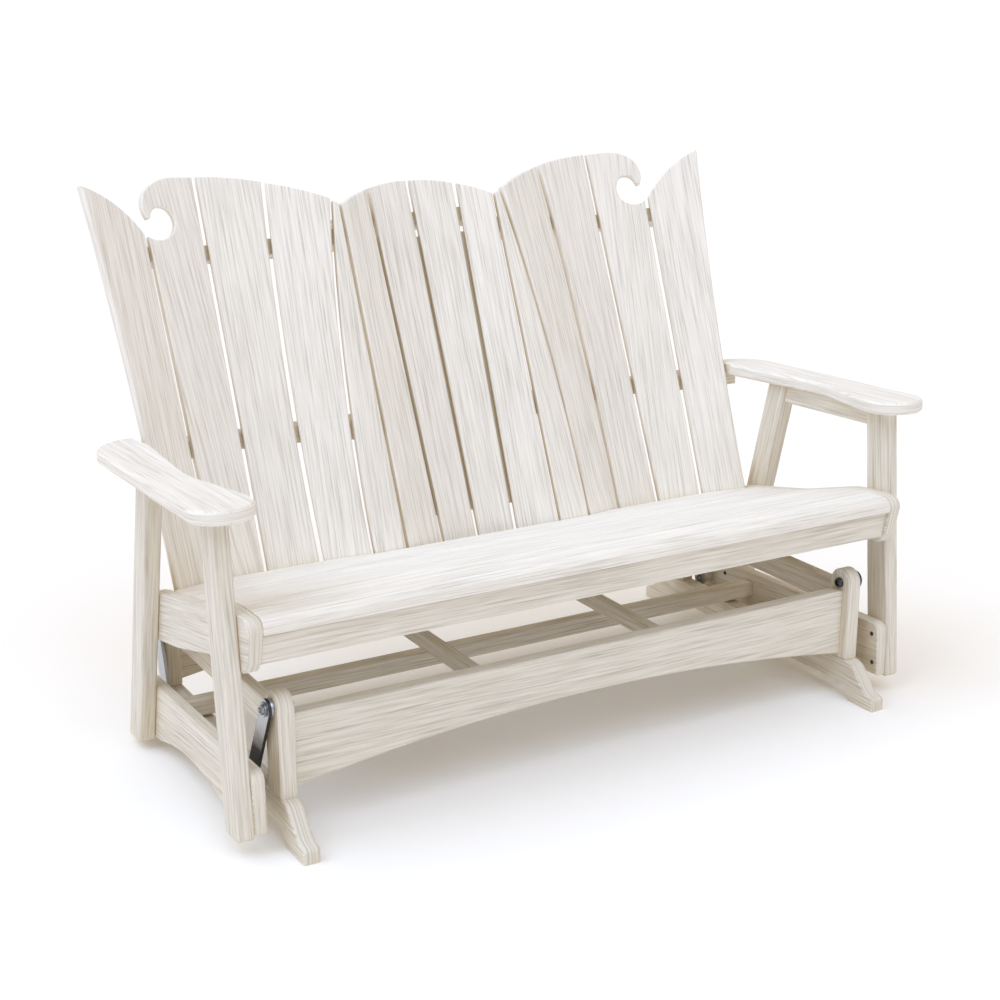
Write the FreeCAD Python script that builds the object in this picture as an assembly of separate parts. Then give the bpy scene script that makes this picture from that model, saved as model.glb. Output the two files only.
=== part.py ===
import FreeCAD, Part
import math
import os

os.makedirs("parts", exist_ok=True)

V = FreeCAD.Vector

# Glider bench, in millimetres. X runs along the bench, -Y is the front, Z is up.
# Lengths along Y are written from the toe tips; the saved parts are moved so that
# the origin is on the floor, half way along the overall depth.
ORIGIN_Y = 443.4

# Stock sizes
HEAVY = 32.0            # posts, feet, stretchers, legs and back rails
BOARD = 25.0            # rails, braces, armrests and glide boards
SLAT = 16.0             # back slats
STRINGER = 28.0         # side boards of the seat
SEAT_BOARD = 18.0       # seat boards
SOFT = 3.0              # broken edges of the legs and straight bars
EASE = 2.5              # broken edges of the curved plates
FLAT = 0.001            # edges thinner than this lie in one plane

# Standing base
POST_IN = 618.0         # centre plane to the inner faces of the posts
POST_WIDTH = 58.0
FOOT_LENGTH = 810.0
FOOT_HEIGHT = 84.0
FOOT_ARCH = 30.0        # height of the arch under a foot
ARCH_RUN = 20.0         # length over which the arch rises
ARCH_R = 24.0
SOLE = 74.0             # length of the sole that meets the floor
TOE_RUN = 70.0          # length of the sloping toe
TOE_BEND = (26.0, 33.0)
TOE_BEND_R = 30.0
TOE_TIP = 27.0
TOE_TIP_R = 9.0
PIVOT_HEIGHT = 248.0
PIVOT_SPREAD = 574.0    # front to rear upper pivots
STRETCHER_SETBACK = 19.0
STRETCHER_DEPTH = 139.0
STRETCHER_TO_HEAD = 7.0 # below the bolt heads on the inner faces of the posts
STRETCHER_RISE = 49.0   # arch under the stretchers
SIDE_RAIL_UNDER = 2.0   # top of the side rails below the pivots
SIDE_RAIL_DEPTH = 54.0
MID_BRACE_X = 194.0
MID_BRACE_DROP = 26.0   # top of the mid braces below the stretchers' tops

# Swinging links
LINK_LENGTH = 165.0
FRONT_LEAN = 27.0       # degrees from hanging straight, lower end to the rear
REAR_LEAN = 16.24       # degrees from hanging straight, lower end to the front
STRAP_WIDTH = 36.0
STRAP = 6.0
POST_TO_STRAP = 6.0
STRAP_TO_GLIDE = 24.0
PIVOT_BOLT_R = 5.0
RUNNING = 0.05          # radial clearance of a turning pivot
LOOSE = 3.6             # radial clearance of the rear lower bushings
SIDE_PLAY = 0.4         # gap between a link and what it turns against
HUB_R = 13.0
HEAD_R = 9.0
HEAD = 5.0
NUT_R = 8.0
NUT = 5.0

# Swinging seat frame, drawn level and hung with a small backward tilt
SEAT_TILT = 2.0
SEAT_PIVOT = (192.9, 101.0)     # front lower pivot in the level drawing
LEG_BOTTOM = 32.0
ARM_UNDER = 600.0
FRONT_LEG_FOOT_Y = 62.8
FRONT_LEG_WIDTH = 60.0
FRONT_LEG_SLOPE = 0.062     # rearward per unit of height
REAR_LEG_FOOT_Y = 576.0
REAR_LEG_WIDTH = 62.0
REAR_LEG_SLOPE = -0.289
LEG_CORNER = 6.0
ARM_RAIL_DEPTH = 40.0
ARM_EASE = 4.5
# Armrest corners: distance outside the legs' middle plane, place along Y, rounding
ARM_REAR = ((58.0, 640.0, 88.0), (-36.0, 640.0, 0.0))
ARM_WAIST = ((-45.0, 565.0, 40.0), (-22.0, 300.0, 260.0), (-60.0, 128.0, 120.0))
ARM_FRONT = ((-63.0, 39.0, 60.0), (59.0, 39.0, 56.0))
GLIDE_HEAD = 126.0      # glide board ahead of the front lower pivot
GLIDE_TAIL = 22.0       # glide board behind the rear lower pivot
GLIDE_LOW = 40.0
GLIDE_HIGH = 154.0
GLIDE_ARCH_START = 213.0
GLIDE_ARCH_END = 545.0
GLIDE_ARCH_RISE = 23.5
GLIDE_CORNER = 20.0
GLIDE_STRETCHER_Y = 484.0
GLIDE_STRETCHER_LOW = 99.0
GLIDE_STRETCHER_DEPTH = 35.0
SCREW_HEAD_R = 6.5
SCREW_HEAD = 2.5
SCREW_INSET = 16.0
REAR_SCREW_INSET = 24.0
SCREW_SPREAD = 62.0

# Contoured seat: corners of its profile from the nose to the rear, with their rounding
SEAT_NOSE = (42.0, 410.0)
SEAT_REAR = (545.0, 330.0)
SEAT_CROWN = ((44.5, 430.5, 22.0), (154.0, 430.5, 300.0))
SEAT_DIP = ((330.0, 385.5, 400.0), (533.0, 350.5, 18.0))
STRINGER_UNDER = ((545.0, 253.0, 0.0), (410.0, 274.0, 600.0), (150.0, 336.0, 120.0))
STRINGER_CHIN = ((76.0, 329.0, 16.0), (57.0, 352.0, 0.0))
SEAT_SEAMS = (110.5, 252.0, 394.0)
SEAT_SEAM_GAP = 2.0
NOSING_SETBACK = 2.0
APRON_TOP_Y = 51.0
APRON_FOOT = (66.0, 345.0)
BEARER_LOW = 305.0

# Fanned back, measured along its lean from the foot of its centre line
BACK_LEAN = 21.0
BACK_FOOT = (535.8, 342.1)
BACK_SPAN = 770.0       # height along the lean at which the upper seam positions are given
SLAT_GAP = 8.0
SEAT_TO_SLAT = 1.5
SEAM_SPARE = 1.5        # how far the rails follow a slat's back into the gap beside it
# Seams from the centre outwards: distance from centre at the foot and at the top, depth,
# and how far the seam bows outwards half way up
SEAMS = (
    (0.0, 0.0, 2.0, 0.0),
    (86.0, 102.5, -10.0, 0.0),
    (180.5, 180.5, -35.0, 0.0),
    (257.5, 200.0, -35.0, 13.0),
    (356.5, 326.0, 1.0, 10.0),
    (469.5, 464.0, 16.0, 0.0),
    (574.0, 591.0, -6.0, 0.0),
    (670.0, 715.0, -51.0, -8.0),
)
SLAT_TWIST = (0.0, 0.0, 0.0, 0.015, 0.0, 0.0, 0.0)    # depth gained per unit of height, slat by slat
CENTRE_SLATS = 2        # slats of the centre fan on each side
CENTRE_FOOT = -2.0
CENTRE_TOP = 769.0
CENTRE_TOP_R = 338.0
FAN_FOOT = -62.0
FAN_TOP = 807.0
FAN_TOP_R = 578.0
FAN_TOP_X = 490.0
# Curl of the hook slats and the long curve of the outermost slats: points on their arcs
HOOK_MOUTH = 687.0
HOOK_FLOOR = (558.0, 680.0)
HOOK_EYE = ((534.0, 691.0), (531.0, 738.0), (573.0, 727.0))
HOOK_LIP = (582.5, 725.6)
HOOK_BROW = (570.0, 786.0)
HOOK_CREST = 514.0
WAVE_TIP = 780.5
WAVE_BEND = (645.0, 746.0)
WAVE_LOW = 691.0
FAN_RAIL_LOW = 638.0
FAN_RAIL_INSET = 34.0
CENTRE_RAIL_LOW = 672.0
BACK_RAIL_REAR = 60.0
CENTRE_RAIL_REAR = 48.0
ARM_TAB_FRONT = 624.0   # front of the arm-level rail's ends under the armrests
LOWER_RAIL_LOW = 286.0
LOWER_RAIL_REAR = 62.0
BATTEN_LOW = 59.0
BATTEN_HIGH = 650.0
BATTEN_HALF = 32.0
BATTEN = 16.0
RAIL_REACH = 130.0      # length along the lean from which the level rails are sliced

# Places that follow from the sizes above
POST_OUT = POST_IN + HEAVY
STRAP_IN = POST_OUT + POST_TO_STRAP
STRAP_OUT = STRAP_IN + STRAP
GLIDE_IN = STRAP_OUT + STRAP_TO_GLIDE
LEG_IN = GLIDE_IN + BOARD
LEG_OUT = LEG_IN + HEAVY
LEG_MID = LEG_IN + HEAVY / 2
SEAT_HALF = LEG_IN - STRINGER
ARM_TOP = ARM_UNDER + BOARD
MID_Y = FOOT_LENGTH / 2
FRONT_PIVOT_Y = MID_Y - PIVOT_SPREAD / 2
REAR_PIVOT_Y = MID_Y + PIVOT_SPREAD / 2
STRETCHER_Y = FRONT_PIVOT_Y - POST_WIDTH / 2 + STRETCHER_SETBACK
STRETCHER_HIGH = PIVOT_HEIGHT - HEAD_R - STRETCHER_TO_HEAD
STRETCHER_LOW = STRETCHER_HIGH - STRETCHER_DEPTH


def swung(y, lean):
    """Lower pivot of a link that hangs from (y, PIVOT_HEIGHT) with a rearward lean."""
    angle = math.radians(lean)
    return (y + LINK_LENGTH * math.sin(angle), PIVOT_HEIGHT - LINK_LENGTH * math.cos(angle))


FRONT_LOWER = swung(FRONT_PIVOT_Y, FRONT_LEAN)
REAR_LOWER = swung(REAR_PIVOT_Y, -REAR_LEAN)


def levelled(point):
    """A point of the hung seat frame in the level drawing of it."""
    angle = math.radians(SEAT_TILT)
    dy = point[0] - FRONT_LOWER[0]
    dz = point[1] - FRONT_LOWER[1]
    y = SEAT_PIVOT[0] + dy * math.cos(angle) - dz * math.sin(angle)
    z = SEAT_PIVOT[1] + dy * math.sin(angle) + dz * math.cos(angle)
    return (y, z)


def save(node, shape):
    placed = shape.copy()
    placed.translate(V(0, -ORIGIN_Y, 0))
    placed.exportStep("parts/" + node + ".step")


def mirrored(shape):
    return shape.mirror(V(0, 0, 0), V(1, 0, 0))


def save_pair(node, shape):
    save(node + "_right", shape)
    save(node + "_left", mirrored(shape))


def hung(shape):
    """The level seat frame's piece, tilted about its pivot and hung on the front links."""
    placed = shape.copy()
    placed.rotate(V(0, *SEAT_PIVOT), V(1, 0, 0), -SEAT_TILT)
    placed.translate(V(0, FRONT_LOWER[0] - SEAT_PIVOT[0], FRONT_LOWER[1] - SEAT_PIVOT[1]))
    return placed


def side_plane(y, z):
    return V(0, y, z)


def front_plane(x, z):
    return V(x, 0, z)


def top_plane(x, y):
    return V(x, y, 0)


class Outline:
    """A closed outline of lines and arcs in one plane."""

    def __init__(self, plane, start):
        self.plane = plane
        self.start = start
        self.at = start
        self.heading = None
        self.edges = []

    def spot(self, point):
        return self.plane(point[0], point[1])

    def add(self, edge, end):
        self.edges.append(edge)
        self.heading = edge.tangentAt(edge.LastParameter)
        self.at = end
        return self

    def line(self, *ends):
        for end in ends:
            self.add(Part.makeLine(self.spot(self.at), self.spot(end)), end)
        return self

    def arc(self, through, end):
        return self.add(Part.Arc(self.spot(self.at), self.spot(through), self.spot(end)).toShape(), end)

    def bend(self, *ends):
        """Arcs to the ends, each going on smoothly from the edge before it."""
        for end in ends:
            here = self.spot(self.at)
            there = self.spot(end)
            chord = there - here
            turn = self.heading.getAngle(chord)
            outward = self.heading - chord * (self.heading.dot(chord) / chord.dot(chord))
            outward.normalize()
            middle = (here + there) / 2 + outward * (chord.Length / 2 * math.tan(turn / 2))
            self.add(Part.Arc(here, middle, there).toShape(), end)
        return self

    def face(self):
        if self.at != self.start:
            self.line(self.start)
        return Part.Face(Part.Wire(self.edges))


def rounded(plane, corners):
    """Face inside a polygon whose corners (a, b, radius) are rounded by tangent arcs."""
    shape = None
    for number, (a, b, radius) in enumerate(corners):
        corner = V(a, b, 0)
        before = V(*corners[number - 1][:2], 0) - corner
        after = V(*corners[(number + 1) % len(corners)][:2], 0) - corner
        before.normalize()
        after.normalize()
        half = before.getAngle(after) / 2
        inward = before + after
        inward.normalize()
        start = corner + before * (radius / math.tan(half))
        middle = corner + inward * (radius / math.sin(half) - radius)
        end = corner + after * (radius / math.tan(half))
        if shape is None:
            shape = Outline(plane, (start.x, start.y))
        else:
            shape.line((start.x, start.y))
        if radius:
            shape.arc((middle.x, middle.y), (end.x, end.y))
    return shape.face()


def along_x(face, x0, x1):
    placed = face.copy()
    placed.translate(V(x0, 0, 0))
    return placed.extrude(V(x1 - x0, 0, 0))


def box(x0, x1, y0, y1, z0, z1):
    return Part.makeBox(x1 - x0, y1 - y0, z1 - z0, V(x0, y0, z0))


def rod(radius, x0, x1, centre):
    return Part.makeCylinder(radius, x1 - x0, V(x0, centre[0], centre[1]), V(1, 0, 0))


def span(edge, axis):
    bounds = edge.BoundBox
    return {"x": bounds.XLength, "y": bounds.YLength, "z": bounds.ZLength}[axis]


def rim(shape, axis):
    """Outline of the two faces that look along the axis."""
    return [e for e in shape.Edges if span(e, axis) < FLAT]


def eased(shape, axis, size):
    """Break the edges of a curved plate all round both faces."""
    return shape.makeChamfer(size, rim(shape, axis))


def soft_bar(shape, axis, size):
    """Break the long edges of a bar that runs along the axis."""
    longest = max(span(e, axis) for e in shape.Edges)
    return shape.makeChamfer(size, [e for e in shape.Edges if span(e, axis) > longest / 2])


# Standing base

def post(pivot_y):
    half = POST_WIDTH / 2
    shape = Outline(side_plane, (pivot_y - half, FOOT_HEIGHT))
    shape.line((pivot_y + half, FOOT_HEIGHT), (pivot_y + half, PIVOT_HEIGHT))
    shape.arc((pivot_y, PIVOT_HEIGHT + half), (pivot_y - half, PIVOT_HEIGHT))
    solid = eased(along_x(shape.face(), POST_IN, POST_OUT), "x", EASE)
    return solid.cut(rod(PIVOT_BOLT_R, POST_IN, POST_OUT, (pivot_y, PIVOT_HEIGHT)))


def foot_board():
    """A foot with an S-curved toe at each end and a low arch between the soles."""
    toe = [(0, 0, 0), (SOLE, 0, 0), (SOLE + ARCH_RUN, FOOT_ARCH, ARCH_R)]
    instep = [(TOE_RUN, FOOT_HEIGHT, TOE_BEND_R), (*TOE_BEND, TOE_BEND_R), (0, TOE_TIP, TOE_TIP_R)]
    far_toe = [(FOOT_LENGTH - y, z, r) for y, z, r in reversed(toe)]
    far_instep = [(FOOT_LENGTH - y, z, r) for y, z, r in reversed(instep)]
    face = rounded(side_plane, toe + far_toe + far_instep + instep)
    return eased(along_x(face, POST_IN, POST_OUT), "x", EASE)


def stretcher(y0):
    """Long board between two posts with a shallow arch along its lower edge."""
    shape = Outline(front_plane, (-POST_IN, STRETCHER_LOW))
    shape.arc((0, STRETCHER_LOW + STRETCHER_RISE), (POST_IN, STRETCHER_LOW))
    shape.line((POST_IN, STRETCHER_HIGH), (-POST_IN, STRETCHER_HIGH))
    face = shape.face()
    face.translate(V(0, y0, 0))
    solid = face.extrude(V(0, HEAVY, 0))
    return solid.makeChamfer(EASE, [e for e in solid.Edges if span(e, "x") > POST_IN])


def base_pieces():
    rear = FOOT_LENGTH - STRETCHER_Y - HEAVY
    inner_front = STRETCHER_Y + HEAVY
    rail_x = POST_IN + (HEAVY - BOARD) / 2
    rail_y = FRONT_PIVOT_Y + POST_WIDTH / 2
    save_pair("post_front", post(FRONT_PIVOT_Y))
    save_pair("post_rear", post(REAR_PIVOT_Y))
    save_pair("foot_board", foot_board())
    save("stretcher_front", stretcher(STRETCHER_Y))
    save("stretcher_rear", stretcher(rear))
    high = PIVOT_HEIGHT - SIDE_RAIL_UNDER
    rail = box(rail_x, rail_x + BOARD, rail_y, FOOT_LENGTH - rail_y, high - SIDE_RAIL_DEPTH, high)
    save_pair("side_rail", soft_bar(rail, "y", SOFT))
    high = STRETCHER_HIGH - MID_BRACE_DROP
    brace = box(MID_BRACE_X, MID_BRACE_X + BOARD, inner_front, rear, high - HEAVY, high)
    save_pair("mid_brace", soft_bar(brace, "y", SOFT))


def hexagon(radius, x0, x1, centre):
    """Six-sided bolt head or nut."""
    corners = []
    for side in range(7):
        turn = math.radians(60 * side)
        corners.append(V(x0, centre[0] + radius * math.cos(turn), centre[1] + radius * math.sin(turn)))
    return Part.Face(Part.makePolygon(corners)).extrude(V(x1 - x0, 0, 0))


def post_bolts():
    solids = []
    nut_in = STRAP_OUT + SIDE_PLAY
    for y in (FRONT_PIVOT_Y, REAR_PIVOT_Y):
        centre = (y, PIVOT_HEIGHT)
        bolt = rod(PIVOT_BOLT_R, POST_IN, nut_in, centre)
        bolt = bolt.fuse(hexagon(HEAD_R, POST_IN - HEAD, POST_IN, centre))
        bolt = bolt.fuse(hexagon(NUT_R, nut_in, nut_in + NUT, centre)).removeSplitter()
        solids += [bolt, mirrored(bolt)]
    return Part.makeCompound(solids)


# Links

def link(upper, lower, lower_bore):
    """Flat steel strap with a thick eye at the post and a long hub at the glide board."""
    half = STRAP_WIDTH / 2
    bar = box(STRAP_IN, STRAP_OUT, upper[0] - half, upper[0] + half, upper[1] - LINK_LENGTH, upper[1])
    strap = bar.fuse(rod(half, STRAP_IN, STRAP_OUT, upper))
    strap = strap.fuse(rod(half, STRAP_IN, STRAP_OUT, (upper[0], upper[1] - LINK_LENGTH)))
    strap = strap.removeSplitter()
    angle = math.degrees(math.atan2(lower[0] - upper[0], upper[1] - lower[1]))
    strap.rotate(V(0, upper[0], upper[1]), V(1, 0, 0), angle)
    strap = strap.fuse(rod(half, POST_OUT + SIDE_PLAY, STRAP_IN, upper))
    strap = strap.fuse(rod(HUB_R, STRAP_OUT, GLIDE_IN - SIDE_PLAY, lower))
    strap = strap.cut(rod(PIVOT_BOLT_R + RUNNING, POST_OUT, GLIDE_IN, upper))
    return strap.cut(rod(lower_bore, POST_OUT, GLIDE_IN, lower)).removeSplitter()


def link_pieces():
    front = link((FRONT_PIVOT_Y, PIVOT_HEIGHT), FRONT_LOWER, PIVOT_BOLT_R + RUNNING)
    rear = link((REAR_PIVOT_Y, PIVOT_HEIGHT), REAR_LOWER, PIVOT_BOLT_R + LOOSE)
    save_pair("link_front", front)
    save_pair("link_rear", rear)


# Seat frame ends

def front_leg_y(z):
    return FRONT_LEG_FOOT_Y + (z - LEG_BOTTOM) * FRONT_LEG_SLOPE


def rear_leg_y(z):
    return REAR_LEG_FOOT_Y + (z - LEG_BOTTOM) * REAR_LEG_SLOPE


def leg(edge_y, width):
    """Leaning leg with eased lower corners, its front edge given by edge_y."""
    low = LEG_BOTTOM
    ease = LEG_BOTTOM + LEG_CORNER
    shape = Outline(side_plane, (edge_y(low) + LEG_CORNER, low))
    shape.line((edge_y(low) + width - LEG_CORNER, low), (edge_y(ease) + width, ease))
    shape.line((edge_y(ARM_UNDER) + width, ARM_UNDER), (edge_y(ARM_UNDER), ARM_UNDER), (edge_y(ease), ease))
    return eased(along_x(shape.face(), LEG_IN, LEG_OUT), "x", SOFT)


def arm_rail():
    """Board on edge under the armrest, its ends cut to the slope of the legs."""
    low = ARM_UNDER - ARM_RAIL_DEPTH
    x0 = LEG_MID - BOARD / 2
    shape = Outline(side_plane, (front_leg_y(low) + FRONT_LEG_WIDTH, low))
    shape.line((rear_leg_y(low), low), (rear_leg_y(ARM_UNDER), ARM_UNDER))
    shape.line((front_leg_y(ARM_UNDER) + FRONT_LEG_WIDTH, ARM_UNDER))
    return soft_bar(along_x(shape.face(), x0, x0 + BOARD), "y", SOFT)


def armrest():
    """Curved armrest: straight outside, waisted inside, broad rounded front, notched at the back."""
    corners = [(LEG_MID + x, y, radius) for x, y, radius in ARM_REAR + ARM_WAIST + ARM_FRONT]
    face = rounded(top_plane, corners)
    face.translate(V(0, 0, ARM_UNDER))
    return eased(face.extrude(V(0, 0, BOARD)), "z", ARM_EASE).cut(wave_notch())


def glide_screws():
    """Screw places at both ends of a glide board, in line with the legs."""
    mid = (GLIDE_LOW + GLIDE_HIGH) / 2
    low = mid - SCREW_SPREAD / 2
    high = mid + SCREW_SPREAD / 2
    front = [(front_leg_y(z) + SCREW_INSET, z) for z in (low, high)]
    rear = [(rear_leg_y(z) + REAR_LEG_WIDTH - REAR_SCREW_INSET, z) for z in (low, high)]
    return front + rear


def glide_board():
    """Low side board that the links carry, arched along its lower edge."""
    middle = (GLIDE_ARCH_START + GLIDE_ARCH_END) / 2
    bend = GLIDE_CORNER * (1 - math.sqrt(0.5))
    front = SEAT_PIVOT[0] - GLIDE_HEAD
    rear = levelled(REAR_LOWER)[0] + GLIDE_TAIL
    shape = Outline(side_plane, (front, GLIDE_LOW))
    shape.line((front, GLIDE_HIGH - GLIDE_CORNER))
    shape.arc((front + bend, GLIDE_HIGH - bend), (front + GLIDE_CORNER, GLIDE_HIGH))
    shape.line((rear, GLIDE_HIGH), (rear, GLIDE_LOW), (GLIDE_ARCH_END, GLIDE_LOW))
    shape.arc((middle, GLIDE_LOW + GLIDE_ARCH_RISE), (GLIDE_ARCH_START, GLIDE_LOW))
    solid = eased(along_x(shape.face(), GLIDE_IN, LEG_IN), "x", EASE)
    for pivot in (FRONT_LOWER, REAR_LOWER):
        solid = solid.cut(rod(PIVOT_BOLT_R, GLIDE_IN, LEG_IN, levelled(pivot)))
    return solid


def glide_bolts():
    solids = []
    nut_out = STRAP_IN - SIDE_PLAY
    for pivot in (FRONT_LOWER, REAR_LOWER):
        centre = levelled(pivot)
        bolt = rod(PIVOT_BOLT_R, nut_out, LEG_IN, centre)
        solids.append(bolt.fuse(hexagon(NUT_R, nut_out - NUT, nut_out, centre)).removeSplitter())
    for place in glide_screws():
        solids.append(hexagon(SCREW_HEAD_R, GLIDE_IN - SCREW_HEAD, GLIDE_IN, place))
    return Part.makeCompound(solids + [mirrored(s) for s in solids])


def end_pieces():
    save_pair("leg_front", hung(leg(front_leg_y, FRONT_LEG_WIDTH)))
    save_pair("leg_rear", hung(leg(rear_leg_y, REAR_LEG_WIDTH)))
    save_pair("armrest", hung(armrest()))
    save_pair("arm_rail", hung(arm_rail()))
    save_pair("glide_board", hung(glide_board()))
    high = GLIDE_STRETCHER_LOW + GLIDE_STRETCHER_DEPTH
    rear = GLIDE_STRETCHER_Y + HEAVY
    bar = box(-GLIDE_IN, GLIDE_IN, GLIDE_STRETCHER_Y, rear, GLIDE_STRETCHER_LOW, high)
    save("glide_stretcher", hung(soft_bar(bar, "x", SOFT)))
    save("glide_bolts", hung(glide_bolts()))


# Seat

def seat_profile(drop):
    """Corners along the top of the seat, lowered by drop."""
    corners = ((*SEAT_NOSE, 0.0),) + SEAT_CROWN + SEAT_DIP + ((*SEAT_REAR, 0.0),)
    return [(y, z - drop, radius) for y, z, radius in corners]


def stringer():
    """Side board of the seat, with the seat's profile along its top."""
    face = rounded(side_plane, seat_profile(0) + list(STRINGER_UNDER + STRINGER_CHIN))
    return eased(along_x(face, SEAT_HALF, LEG_IN), "x", EASE)


def below_seat(drop):
    """Everything under the seat's profile, lowered by drop."""
    corners = seat_profile(drop) + [(SEAT_REAR[0], 0, 0), (SEAT_NOSE[0], 0, 0)]
    return along_x(rounded(side_plane, corners), -SEAT_HALF, SEAT_HALF)


def seat_board(y0, y1, region):
    """One seat board between two seams, its front and rear edges rounded."""
    def at_edge(edge):
        return min(abs(edge.BoundBox.YMin - y0), abs(edge.BoundBox.YMin - y1)) < FLAT
    board = region.common(box(-SEAT_HALF, SEAT_HALF, y0, y1, 0, ARM_UNDER))
    edges = [e for e in board.Edges if span(e, "x") > SEAT_HALF and span(e, "y") < FLAT and at_edge(e)]
    return board.makeChamfer(SEAT_SEAM_GAP, edges)


def seat_pieces():
    skin = below_seat(0).cut(below_seat(SEAT_BOARD))
    skin = skin.common(before_slats())
    starts = [SEAT_NOSE[0] + NOSING_SETBACK] + [y + SEAT_SEAM_GAP / 2 for y in SEAT_SEAMS]
    ends = [y - SEAT_SEAM_GAP / 2 for y in SEAT_SEAMS] + [SEAT_REAR[0]]
    for number, (y0, y1) in enumerate(zip(starts, ends), 1):
        save("seat_board_%d" % number, hung(seat_board(y0, y1, skin)))
    save_pair("seat_stringer", hung(stringer()))
    under = below_seat(SEAT_BOARD)
    lean = APRON_FOOT[0] - APRON_TOP_Y
    shape = Outline(side_plane, APRON_FOOT)
    shape.line((APRON_FOOT[0] + BOARD, APRON_FOOT[1]), (APRON_TOP_Y + BOARD, SEAT_NOSE[1]))
    shape.line((APRON_FOOT[0] - lean, SEAT_NOSE[1]))
    save("seat_apron", hung(along_x(shape.face(), -SEAT_HALF, SEAT_HALF).common(under)))
    shape = Outline(side_plane, (APRON_FOOT[0] + BOARD, APRON_FOOT[1]))
    shape.line((lower_rail_front(), BEARER_LOW), (lower_rail_front(), SEAT_NOSE[1]))
    shape.line((APRON_FOOT[0] + BOARD, SEAT_NOSE[1]))
    save("seat_bearer", hung(along_x(shape.face(), -BOARD / 2, BOARD / 2).common(under)))


# Back

BACK_SIN = math.sin(math.radians(BACK_LEAN))
BACK_COS = math.cos(math.radians(BACK_LEAN))
BACK_UP = V(0, BACK_SIN, BACK_COS)


def back_point(x, w, d):
    """Point of the back: across, up along the lean, and in depth behind the centre line."""
    y = BACK_FOOT[0] + w * BACK_SIN + d * BACK_COS
    z = BACK_FOOT[1] + w * BACK_COS - d * BACK_SIN
    return V(x, y, z)


def seam_x(k, w):
    low, high, depth, bow = SEAMS[k]
    along = w / BACK_SPAN
    return low + (high - low) * along + 4 * bow * along * (1 - along)


def slat_slope(k):
    run = sum(SEAMS[k + 1][:2]) / 2 - sum(SEAMS[k][:2]) / 2
    return (SEAMS[k + 1][2] - SEAMS[k][2]) / run


def slat_front(k, x, w):
    """Depth of the front face of slat k."""
    middle = sum(SEAMS[k][:2]) / 2
    return SEAMS[k][2] + slat_slope(k) * (x - middle) + SLAT_TWIST[k] * (w - BACK_SPAN / 2)


def slat_back(k, x, w):
    """Depth of the rear face of slat k."""
    return slat_front(k, x, w) + SLAT * math.sqrt(1 + slat_slope(k) ** 2 + SLAT_TWIST[k] ** 2)


def crossing(k, w, depth):
    """Where the faces of slats k - 1 and k meet, at height w."""
    if k == 0:
        return (0.0, depth(0, 0.0, w))
    gap = depth(k, 0, w) - depth(k - 1, 0, w)
    x = gap / (slat_slope(k - 1) - slat_slope(k))
    return (x, depth(k, x, w))


def inner_edge(k, w):
    return seam_x(k, w) + SLAT_GAP / 2


def outer_edge(k, w):
    return seam_x(k + 1, w) - (0 if k + 2 == len(SEAMS) else SLAT_GAP / 2)


def centre_top(x):
    return CENTRE_TOP - CENTRE_TOP_R + math.sqrt(CENTRE_TOP_R ** 2 - x ** 2)


def fan_top(x):
    return FAN_TOP - FAN_TOP_R + math.sqrt(FAN_TOP_R ** 2 - (x - FAN_TOP_X) ** 2)


def slat_axes(k):
    """Origin of slat k's front plane, with unit vectors across it and up it."""
    origin = back_point(0, 0, slat_front(k, 0, 0))
    across = back_point(1, 0, slat_front(k, 1, 0)) - origin
    up = back_point(0, 1, slat_front(k, 0, 1)) - origin
    return origin, across, up


def slat_outline(k, foot):
    """Outline of slat k drawn flat, begun along its foot."""
    origin, across, up = slat_axes(k)
    unit = across / across.Length
    skew = up.dot(unit)
    rise = (up - unit * skew).Length

    def plane(x, w):
        return V(x * across.Length + w * skew, w * rise, 0)
    shape = Outline(plane, (inner_edge(k, foot), foot))
    return shape.line((outer_edge(k, foot), foot))


def up_side(shape, edge, k, bow, end):
    """Go along the side of slat k, which is an arc where its seam is bowed."""
    middle = (shape.at[1] + end[1]) / 2
    if bow:
        return shape.arc((edge(k, middle), middle), end)
    return shape.line(end)


def slat_solid(k, shape):
    """Slat of full thickness with rounded edges, stood on its own tilted plane."""
    origin, across, up = slat_axes(k)
    solid = eased(shape.face().extrude(V(0, 0, -SLAT)), "z", EASE)
    turn = FreeCAD.Rotation(across, up, across.cross(up), "XZY")
    return solid.transformed(FreeCAD.Placement(origin, turn).Matrix)


def plain_slat(k, foot, top):
    """Slat with a rounded top that is part of its fan's arc."""
    inner = inner_edge(k, BACK_SPAN)
    outer = outer_edge(k, BACK_SPAN)
    middle = (inner + outer) / 2
    shape = slat_outline(k, foot)
    up_side(shape, outer_edge, k, SEAMS[k + 1][3], (outer, top(outer)))
    shape.arc((middle, top(middle)), (inner, top(inner)))
    up_side(shape, inner_edge, k, SEAMS[k][3], shape.start)
    return slat_solid(k, shape)


def hook_slat(k):
    """Slat whose top curls over into a breaking wave."""
    inner = inner_edge(k, BACK_SPAN)
    crest = (HOOK_CREST, fan_top(HOOK_CREST))
    shape = slat_outline(k, FAN_FOOT)
    shape.line((outer_edge(k, HOOK_MOUTH), HOOK_MOUTH))
    shape.arc(HOOK_FLOOR, HOOK_EYE[0])
    shape.bend(HOOK_EYE[1], HOOK_EYE[2], HOOK_LIP, HOOK_BROW, crest, (inner, fan_top(inner)))
    return slat_solid(k, shape)


def wave_slat(k):
    """Outermost slat, rising in a long curve to a point."""
    shape = slat_outline(k, FAN_FOOT)
    up_side(shape, outer_edge, k, SEAMS[k + 1][3], (outer_edge(k, WAVE_TIP), WAVE_TIP))
    shape.arc(WAVE_BEND, (inner_edge(k, WAVE_LOW), WAVE_LOW))
    return slat_solid(k, shape)


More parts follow.
